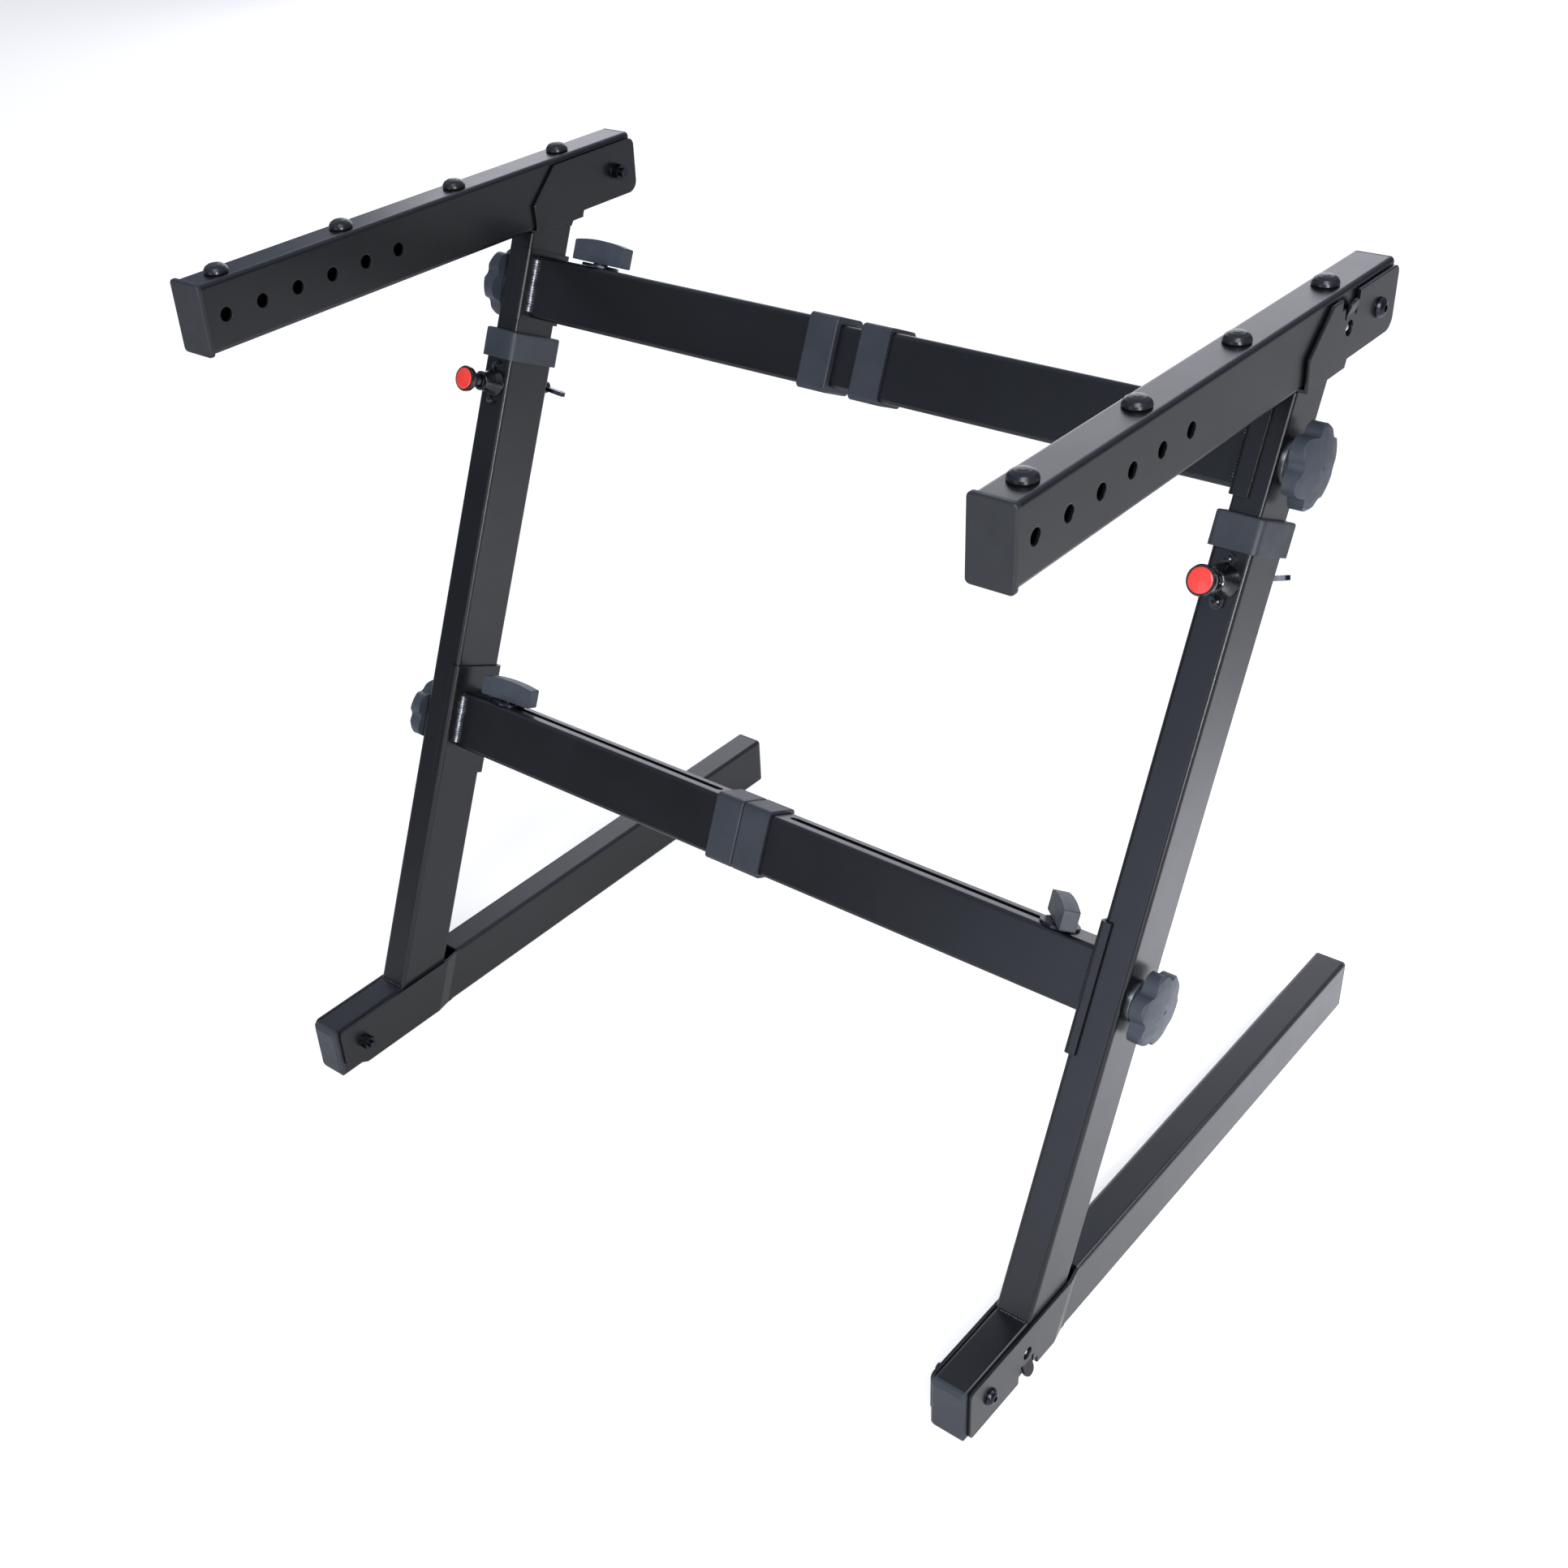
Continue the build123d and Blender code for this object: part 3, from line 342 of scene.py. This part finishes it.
def weld_tree() -> bpy.types.NodeTree:
    """Makes the tree that lays a rippled weld bead along the edges of a mesh.

    Returns:
        The tree, with named inputs for its sizes.
    """
    steps_per_ripple = 5.0
    wander_scale, wander_detail = 160.0, 1.0
    thin, thick = 0.7, 1.25
    ring_sides = 10
    tree = bpy.data.node_groups.new("weld_bead", "GeometryNodeTree")
    group_input(tree, "Geometry", "NodeSocketGeometry")
    group_input(tree, "Bead Radius", "NodeSocketFloat", 2.2 * MM)
    group_input(tree, "Ripple Pitch", "NodeSocketFloat", 1.9 * MM)
    group_input(tree, "Ripple Depth", "NodeSocketFloat", 0.4)
    group_input(tree, "Wander", "NodeSocketFloat", 0.7 * MM)
    group_input(tree, "Seed", "NodeSocketFloat", 3.0)
    group_input(tree, "Material", "NodeSocketMaterial")
    tree.interface.new_socket(name="Geometry", in_out="OUTPUT", socket_type="NodeSocketGeometry")
    given = add_node(tree, "NodeGroupInput").outputs
    # The path in short equal steps, drifting a little to the sides.
    line = add_node(tree, "GeometryNodeMeshToCurve", Mesh=given["Geometry"])
    step = calc(tree, "DIVIDE", given["Ripple Pitch"], steps_per_ripple)
    path = {"Curve": line.outputs[0], "Length": step}
    fine = add_node(tree, "GeometryNodeResampleCurve", {"mode": "LENGTH"}, **path)
    here = add_node(tree, "GeometryNodeInputPosition").outputs[0]
    wander = {"Vector": here, "W": given["Seed"], "Scale": wander_scale, "Detail": wander_detail}
    drift = add_node(tree, "ShaderNodeTexNoise", {"noise_dimensions": "4D"}, **wander)
    centred = {"in0": drift.outputs["Color"], "in1": (0.5, 0.5, 0.5)}
    shift = add_node(tree, "ShaderNodeVectorMath", {"operation": "SUBTRACT"}, **centred)
    sized = {"in0": shift.outputs[0], "Scale": given["Wander"]}
    shift = add_node(tree, "ShaderNodeVectorMath", {"operation": "SCALE"}, **sized)
    moved = add_node(tree, "GeometryNodeSetPosition", Geometry=fine.outputs[0], Offset=shift.outputs[0])
    # The radius swells once in each ripple, and some ripples are thicker than others.
    along = add_node(tree, "GeometryNodeSplineParameter").outputs["Length"]
    phase = calc(tree, "MULTIPLY", calc(tree, "DIVIDE", along, given["Ripple Pitch"]), math.pi)
    hump = calc(tree, "ABSOLUTE", calc(tree, "SINE", phase))
    loss = calc(tree, "MULTIPLY", calc(tree, "SUBTRACT", 1.0, hump), given["Ripple Depth"])
    uneven = spread(tree, drift.outputs[0], thin, thick)
    share = calc(tree, "MULTIPLY", calc(tree, "SUBTRACT", 1.0, loss), uneven)
    radius = calc(tree, "MULTIPLY", share, given["Bead Radius"])
    ring = add_node(tree, "GeometryNodeCurvePrimitiveCircle", Resolution=ring_sides, Radius=1.0)
    shape = {"Curve": moved.outputs[0], "Profile_Curve": ring.outputs[0], "Scale": radius}
    bead = add_node(tree, "GeometryNodeCurveToMesh", Fill_Caps=True, **shape)
    smooth = add_node(tree, "GeometryNodeSetShadeSmooth", in0=bead.outputs[0])
    real = add_node(tree, "GeometryNodeRealizeInstances", in0=smooth.outputs[0])
    done = add_node(tree, "GeometryNodeSetMaterial", Geometry=real.outputs[0], Material=given["Material"])
    add_node(tree, "NodeGroupOutput", in0=done.outputs[0])
    return tree


def run_tree(
    name: str, lines: list[list[Vector]], tree: bpy.types.NodeTree, values: dict[str, object]
) -> bpy.types.Object:
    """Runs a Geometry Nodes tree on polylines and keeps the plain mesh that comes out.

    Args:
        name: name of the new piece.
        lines: polylines in metres in the row frame.
        tree: the tree.
        values: values of its named inputs.

    Returns:
        A mesh object at the origin with no modifier.
    """
    points: list[Vector] = []
    edges: list[tuple[int, int]] = []
    for line in lines:
        start = len(points)
        points += line
        edges += [(start + i, start + i + 1) for i in range(len(line) - 1)]
    seed = bpy.data.meshes.new(name + "_path")
    seed.from_pydata([tuple(p) for p in points], edges, [])
    holder = bpy.data.objects.new(name + "_path", seed)
    bpy.context.scene.collection.objects.link(holder)
    modifier = holder.modifiers.new("made", "NODES")
    modifier.node_group = tree
    for item in tree.interface.items_tree:
        if item.item_type == "SOCKET" and item.in_out == "INPUT" and item.name in values:
            modifier[item.identifier] = values[item.name]
    bpy.context.view_layer.update()
    graph = bpy.context.evaluated_depsgraph_get()
    mesh = bpy.data.meshes.new_from_object(holder.evaluated_get(graph), depsgraph=graph)
    mesh.name = name
    bpy.data.objects.remove(holder)
    made = bpy.data.objects.new(name, mesh)
    bpy.context.scene.collection.objects.link(made)
    LOG.info("%s: %d faces", name, len(mesh.polygons))
    return made


@dataclass(frozen=True)
class ButtonCrown:
    """Rounded tip that a spring button pushes into its latch hole.

    It starts where the button's own end starts to taper, and encloses that end.
    """

    radius_mm: float = 3.15
    base_mm: float = 1.8
    rise_mm: float = 3.4
    rings: int = 8
    sides: int = 40

    def build(self, node: str, side: Side, body: str, paints: Paints) -> bpy.types.Object:
        """Turns the crown over the outer end of a lock button.

        Args:
            node: name of the button's CAD node.
            side: the side whose outer face the button looks at.
            body: the body that it moves with.
            paints: the materials.

        Returns:
            The crown, closed by a flat back inside the button.
        """
        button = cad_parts[node]
        places = [button.matrix_world @ v.co for v in button.data.vertices]
        end = max(p.x * side.value for p in places) * side.value
        low = [min(p[i] for p in places) for i in (1, 2)]
        high = [max(p[i] for p in places) for i in (1, 2)]
        base = end - side.value * self.base_mm * MM
        middle = Vector((base, (low[0] + high[0]) / 2, (low[1] + high[1]) / 2))
        reach = self.radius_mm * MM
        rise = side.value * self.rise_mm * MM
        points = []
        for i in range(self.rings):
            turn = i / self.rings * math.pi / 2
            for k in range(self.sides):
                a = k * math.tau / self.sides
                spoke = Vector((0.0, math.cos(a), math.sin(a))) * reach * math.cos(turn)
                points.append(middle + spoke + Vector((rise * math.sin(turn), 0.0, 0.0)))
        points.append(middle + Vector((rise, 0.0, 0.0)))
        faces = [tuple(range(self.sides))[:: -side.value]]
        for i in range(self.rings - 1):
            near, far = i * self.sides, (i + 1) * self.sides
            for k in range(self.sides):
                after = (k + 1) % self.sides
                quad = (near + k, near + after, far + after, far + k)
                faces.append(quad[:: side.value])
        last = (self.rings - 1) * self.sides
        for k in range(self.sides):
            tip = (last + k, last + (k + 1) % self.sides, len(points) - 1)
            faces.append(tip[:: side.value])
        mesh = bpy.data.meshes.new(node + "_crown")
        mesh.from_pydata([tuple(p) for p in points], [], faces)
        mesh.polygons.foreach_set("use_smooth", [n > 0 for n in range(len(faces))])
        mesh.materials.append(paints.get(ZINC_PLATE))
        crown = bpy.data.objects.new(node + "_crown", mesh)
        bpy.context.scene.collection.objects.link(crown)
        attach(crown, body)
        return crown


CROWN = ButtonCrown()


@dataclass
class Upright:
    """Lower upright with its foot block, cap, mouth collar, plunger and wing bolt."""

    side: Side
    tube_w: float = 25.4
    tube_h: float = 44.0
    corner_mm: float = 2.0
    foot_weld_radius: float = 1.3

    def dress(self, paints: Paints) -> None:
        """Gives the CAD nodes of this sub-assembly their finishes.

        Args:
            paints: the materials.
        """
        end = "_" + self.side.word
        paints.dress("lower_upright" + end, POWDER_COAT)
        for node in ("foot_cap", "upright_collar"):
            paints.dress(node + end, MOULDED_PLASTIC)
        paints.dress("plunger_housing" + end, GLOSS_LACQUER)
        paints.dress("plunger_knob" + end, GLOSS_LACQUER)
        paints.dress("plunger_cap" + end, RED_ACETAL)
        paints.dress("wing_bolt" + end, BLACK_OXIDE)

    def foot_weld(self, paints: Paints, tree: bpy.types.NodeTree) -> bpy.types.Object:
        """Lays the small coated bead where the front of the leaning tube meets its foot block.

        Args:
            paints: the materials.
            tree: the weld tree.

        Returns:
            The bead.
        """
        x = self.side.value * LEAN.post_x
        a = math.radians(LEAN.tilt_deg)
        half = self.tube_w / 2 - self.corner_mm
        y = LEAN.foot_y + self.tube_h * math.tan(a) - self.tube_h / 2 / math.cos(a)
        line = [Vector((x + s * half, y, self.tube_h)) * MM for s in (-1, 1)]
        values = {"Bead Radius": self.foot_weld_radius * MM, "Material": paints.get(COATED_WELD)}
        bead = run_tree("foot_weld_" + self.side.word, [line], tree, values)
        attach(bead, "frame_" + self.side.word)
        return bead


@dataclass
class Arm:
    """Upper upright with its bracket, and the arm that folds in it."""

    side: Side

    def dress(self, paints: Paints) -> None:
        """Gives the CAD nodes of this sub-assembly their finishes.

        Args:
            paints: the materials.
        """
        end = "_" + self.side.word
        for node in ("upper_upright", "arm_tube"):
            paints.dress(node + end, POWDER_COAT)
        paints.dress("arm_caps" + end, DARK_PLASTIC)
        paints.dress("arm_bumpers" + end, RUBBER)
        paints.dress("arm_pivot_bolt" + end, BLACK_OXIDE)
        paints.dress("arm_lock_button" + end, ZINC_PLATE)
        CROWN.build("arm_lock_button" + end, self.side, "arm_button" + end, paints)


@dataclass
class Leg:
    """Leg tube with its fork, cap, pivot bolt and lock button."""

    side: Side

    def dress(self, paints: Paints) -> None:
        """Gives the CAD nodes of this sub-assembly their finishes.

        Args:
            paints: the materials.
        """
        end = "_" + self.side.word
        paints.dress("leg_tube" + end, POWDER_COAT)
        paints.dress("leg_cap" + end, MOULDED_PLASTIC)
        paints.dress("leg_pivot_bolt" + end, BLACK_OXIDE)
        paints.dress("leg_lock_button" + end, ZINC_PLATE)
        CROWN.build("leg_lock_button" + end, self.side, "leg_button" + end, paints)


class Level(Enum):
    """Which of the two crossbars a piece belongs to."""

    LOWER = "lower"
    UPPER = "upper"


@dataclass
class Crossbar:
    """One adjustable crossbar: two outer tubes, the inner bar, collars, knobs and thumbscrews."""

    level: Level
    weld_x: float
    mid_t: float
    bodies: tuple[str, str]
    bar_depth: float = 25.4
    weld_half: float = 18.5
    stand_off: float = 0.5
    bead_radius: float = 2.7

    def dress(self, paints: Paints) -> None:
        """Gives the CAD nodes of this sub-assembly their finishes.

        Args:
            paints: the materials.
        """
        word = self.level.value
        paints.dress(word + "_inner_bar", POWDER_COAT)
        for side in Side:
            end = "_" + side.word
            paints.dress(word + "_crossbar" + end, POWDER_COAT)
            paints.dress(word + "_bar_collar" + end, MOULDED_PLASTIC)
            paints.dress(word + "_star_knob" + end, KNOB_NYLON)
            paints.dress(word + "_star_stud" + end, ZINC_PLATE)
            paints.dress(word + "_thumb_bar" + end, KNOB_NYLON)
            paints.dress(word + "_thumb_stud" + end, BLACK_OXIDE)

    def welds(self, side: Side, paints: Paints, tree: bpy.types.NodeTree) -> bpy.types.Object:
        """Lays the beads that join the bar to the channel round the upright, in bright metal that paints
        their glint.

        Args:
            side: which end.
            paints: the materials.
            tree: the weld tree.

        Returns:
            One mesh with the front and the rear bead.
        """
        x = side.value * (self.weld_x - self.stand_off)
        lines = []
        for face in (1, -1):
            n = face * (self.bar_depth / 2 + self.stand_off)
            low = LEAN.point(x, n, self.mid_t - self.weld_half)
            high = LEAN.point(x, n, self.mid_t + self.weld_half)
            lines.append([low, high])
        # The beads' bright silver metal is a painted glint; the real beads are coated black.
        values = {
            "Bead Radius": self.bead_radius * MM,
            "Seed": self.mid_t * side.value,
            "Material": paints.get(WELD_PAINTED_GLINT),
        }
        bead = run_tree(f"{self.level.value}_bar_weld_{side.word}", lines, tree, values)
        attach(bead, self.bodies[0] if side is Side.RIGHT else self.bodies[1])
        return bead


@dataclass(frozen=True)
class Lamp:
    """One square soft box."""

    name: str
    place: tuple[float, float, float]
    aim: tuple[float, float, float]
    size: float
    power: float
    colour: str
    beam_deg: float = 180.0

    def build(self) -> None:
        """Hangs the box in the scene, out of the camera's sight."""
        data = bpy.data.lights.new(self.name, "AREA")
        data.shape = "SQUARE"
        data.spread = math.radians(self.beam_deg)
        data.size = self.size
        data.energy = self.power
        data.color = linear(self.colour)[:3]
        lamp = bpy.data.objects.new(self.name, data)
        way = Vector(self.aim) - Vector(self.place)
        lamp.location = self.place
        lamp.visible_camera = False
        lamp.rotation_euler = way.to_track_quat("-Z", "Y").to_euler()
        bpy.context.scene.collection.objects.link(lamp)


@dataclass
class Studio:
    """Pale floor, plain soft lights and the camera of the photograph's viewing angle."""

    camera_at: tuple[float, float, float] = (0.72689, -0.92175, 0.99152)
    azimuth_deg: float = 42.19
    pitch_deg: float = 35.67
    roll_deg: float = -4.14
    lens_mm: float = 43.841
    sensor_mm: float = 36.0
    shift: tuple[float, float] = (0.04264, 0.06789)
    clip: tuple[float, float] = (0.05, 60.0)
    sky_from: float = -0.05
    sky_to: float = 0.75
    horizon: float = 0.1
    zenith: float = 0.75
    fill: float = 0.2
    sky_colour: str = "#D9E6FF"
    floor_radius: float = 14.0
    floor_sides: int = 64
    floor_colour: str = "#F2F2F4"
    floor_lift: float = 0.62
    floor_gloss: float = 0.25
    lamps: tuple[Lamp, ...] = (
        # Large and low behind the left: the sheen on the tops of the arms.
        Lamp("back_left_box", (-2.1, 3.5, 1.45), (-0.1, 0.0, 0.6), 3.3, 64.0, "#F4F2FA"),
        # High in front on the right: the light on the moulded pieces.
        Lamp("key_box", (1.9, -2.3, 2.7), (0.0, 0.0, 0.35), 1.8, 84.0, "#FCFCFF"),
        # Low in front: the sheen that grows along the crossbars to the right.
        Lamp("front_low_box", (-0.42, -3.5, 0.8), (0.1, 0.0, 0.4), 1.6, 17.0, "#DCE6FF"),
        # A pool of light on the floor that the outer side of the right frame mirrors.
        Lamp("right_floor_box", (0.95, 0.45, 0.8), (0.5, 0.28, 0.0), 0.4, 2.0, "#F6F8FF", 60.0),
        # Small and bright: the thin lines on rounded edges.
        Lamp("edge_box", (2.4, -1.9, 1.0), (0.0, 0.0, 0.4), 0.35, 34.0, "#FFFFFF"),
    )

    def camera(self) -> None:
        """Sets up the camera, with no depth of field and only the framing's small shift."""
        az, pitch, roll = (math.radians(v) for v in (self.azimuth_deg, self.pitch_deg, self.roll_deg))
        ahead = Vector((-math.sin(az) * math.cos(pitch), math.cos(az) * math.cos(pitch), -math.sin(pitch)))
        level = Vector((math.cos(az), math.sin(az), 0.0))
        upright = level.cross(ahead)
        right = level * math.cos(roll) + upright * math.sin(roll)
        up = upright * math.cos(roll) - level * math.sin(roll)
        data = bpy.data.cameras.new("camera")
        data.sensor_width = self.sensor_mm
        data.lens = self.lens_mm
        data.shift_x, data.shift_y = self.shift
        data.clip_start, data.clip_end = self.clip
        camera = bpy.data.objects.new("camera", data)
        turn = Matrix((right, up, -ahead)).transposed().to_4x4()
        camera.matrix_world = Matrix.Translation(Vector(self.camera_at)) @ turn
        bpy.context.scene.collection.objects.link(camera)
        bpy.context.scene.camera = camera

    def world(self) -> None:
        """White for what the camera sees, a soft gradient for what gloss and walls see."""
        world = bpy.data.worlds.new("studio")
        world.use_nodes = True
        tree = world.node_tree
        tree.nodes.clear()
        way = add_node(tree, "ShaderNodeTexCoord").outputs["Generated"]
        height = add_node(tree, "ShaderNodeSeparateXYZ", Vector=way).outputs["Z"]
        ends = {"in1": self.sky_from, "in2": self.sky_to, "in3": self.horizon, "in4": self.zenith}
        soft = {"interpolation_type": "SMOOTHSTEP"}
        rise = add_node(tree, "ShaderNodeMapRange", soft, in0=height, **ends).outputs[0]
        path = add_node(tree, "ShaderNodeLightPath").outputs
        seen = calc(tree, "MAXIMUM", path["Is Camera Ray"], path["Is Transmission Ray"])
        glossy = calc(tree, "MULTIPLY", path["Is Glossy Ray"], rise)
        around = calc(tree, "MAXIMUM", glossy, self.fill)
        levels = {"in0": seen, "in2": around, "in3": 1.0}
        strength = add_node(tree, "ShaderNodeMix", {"data_type": "FLOAT"}, **levels).outputs[0]
        colours = {"in0": seen, "in6": linear(self.sky_colour), "in7": linear("#FFFFFF")}
        tint = add_node(tree, "ShaderNodeMix", {"data_type": "RGBA"}, **colours).outputs[2]
        sky = add_node(tree, "ShaderNodeBackground", Color=tint, Strength=strength)
        add_node(tree, "ShaderNodeOutputWorld", Surface=sky.outputs[0])
        bpy.context.scene.world = world

    def floor(self) -> None:
        """Lays the pale floor, which shows white and keeps the stand's soft shadow."""
        mesh = bpy.data.meshes.new("floor")
        turns = [i * math.tau / self.floor_sides for i in range(self.floor_sides)]
        ring = [(self.floor_radius * math.cos(a), self.floor_radius * math.sin(a), 0.0) for a in turns]
        mesh.from_pydata(ring, [], [list(range(self.floor_sides))])
        floor = bpy.data.objects.new("floor", mesh)
        bpy.context.scene.collection.objects.link(floor)
        material = bpy.data.materials.new("pale_paper_floor")
        material.use_nodes = True
        tree = material.node_tree
        tree.nodes.clear()
        path = add_node(tree, "ShaderNodeLightPath").outputs
        seen = calc(tree, "MAXIMUM", path["Is Camera Ray"], path["Is Transmission Ray"])
        clear = calc(tree, "MULTIPLY", seen, self.floor_lift)
        glossy = calc(tree, "MULTIPLY", path["Is Glossy Ray"], self.floor_gloss)
        lift = calc(tree, "MAXIMUM", clear, glossy)
        paper = add_node(tree, "ShaderNodeBsdfDiffuse", Color=linear(self.floor_colour))
        glow = add_node(tree, "ShaderNodeEmission", Color=linear("#FFFFFF"), Strength=lift)
        both = add_node(tree, "ShaderNodeAddShader", in0=paper.outputs[0], in1=glow.outputs[0])
        add_node(tree, "ShaderNodeOutputMaterial", Surface=both.outputs[0])
        mesh.materials.append(material)

    def build(self) -> None:
        """Makes the whole studio."""
        self.camera()
        for lamp in self.lamps:
            lamp.build()
        self.world()
        self.floor()
        bpy.context.scene.view_settings.view_transform = "Standard"


def main() -> None:
    """Builds the studio, dresses the CAD nodes and adds the weld beads and button crowns."""
    logging.basicConfig(level=logging.INFO, format="%(message)s")
    paints = Paints()
    tree = weld_tree()
    Studio().build()
    for side in Side:
        upright = Upright(side)
        upright.dress(paints)
        upright.foot_weld(paints, tree)
        Arm(side).dress(paints)
        Leg(side).dress(paints)
    lower = Crossbar(Level.LOWER, weld_x=280.0, mid_t=264.5, bodies=("frame_right", "frame_left"))
    upper = Crossbar(Level.UPPER, weld_x=282.4, mid_t=591.5, bodies=("upper_right", "upper_left"))
    for bar in (lower, upper):
        bar.dress(paints)
        for side in Side:
            bar.welds(side, paints, tree)


if __name__ == "__main__":
    main()
